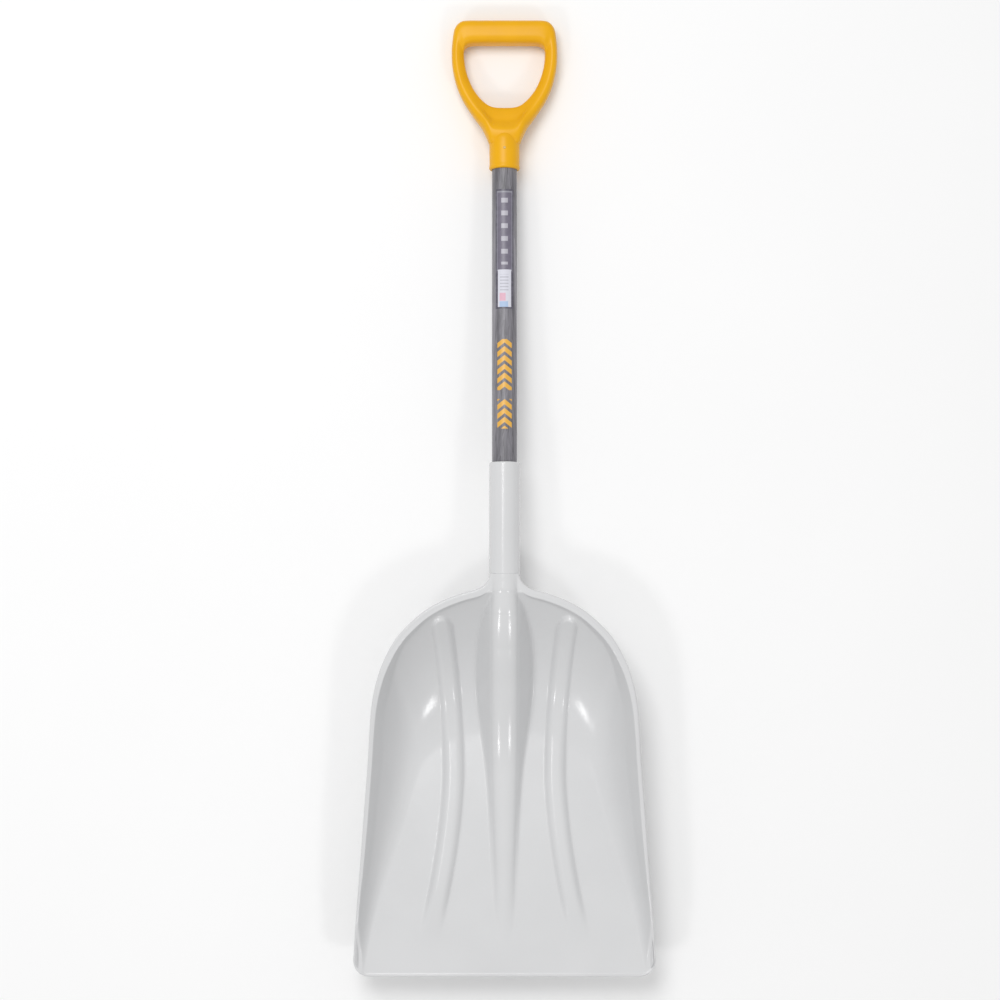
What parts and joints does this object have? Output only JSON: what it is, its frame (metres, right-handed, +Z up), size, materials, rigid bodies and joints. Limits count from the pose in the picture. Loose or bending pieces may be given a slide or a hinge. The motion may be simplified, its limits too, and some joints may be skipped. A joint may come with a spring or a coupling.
{
  "type": "snow shovel",
  "caption": "Snow shovel with a deep square-fronted plastic scoop, a round wooden shaft and a D-shaped hand grip.",
  "frame": {"origin": "on the ground, under the middle of the bounding box, with the shovel lying on its back and its bowl up", "axes": "+X to the right across the blade, +Y along the shaft to the grip, +Z up out of the bowl"},
  "size_m": [0.3936, 1.25, 0.0961],
  "materials": {
    "scoop_plastic": "satin moulded, pale grey-white",
    "stained_wood": "dark grey stain over visible grain, semi-matte",
    "grip_plastic": "smooth moulded, warm yellow",
    "label_film": "printed film, dark grey-violet",
    "sticker_paper": "coated white paper, represented as matte plastic",
    "screw_steel": "zinc plated",
    "pin_steel": "plain steel"
  },
  "bodies": {
    "root": {"scoop": "scoop_plastic", "socket_screws": "screw_steel", "shaft": "stained_wood", "shaft_label": "label_film", "stock_sticker": "sticker_paper", "d_grip": "grip_plastic", "grip_pin": "pin_steel"}
  },
  "joints": []
}
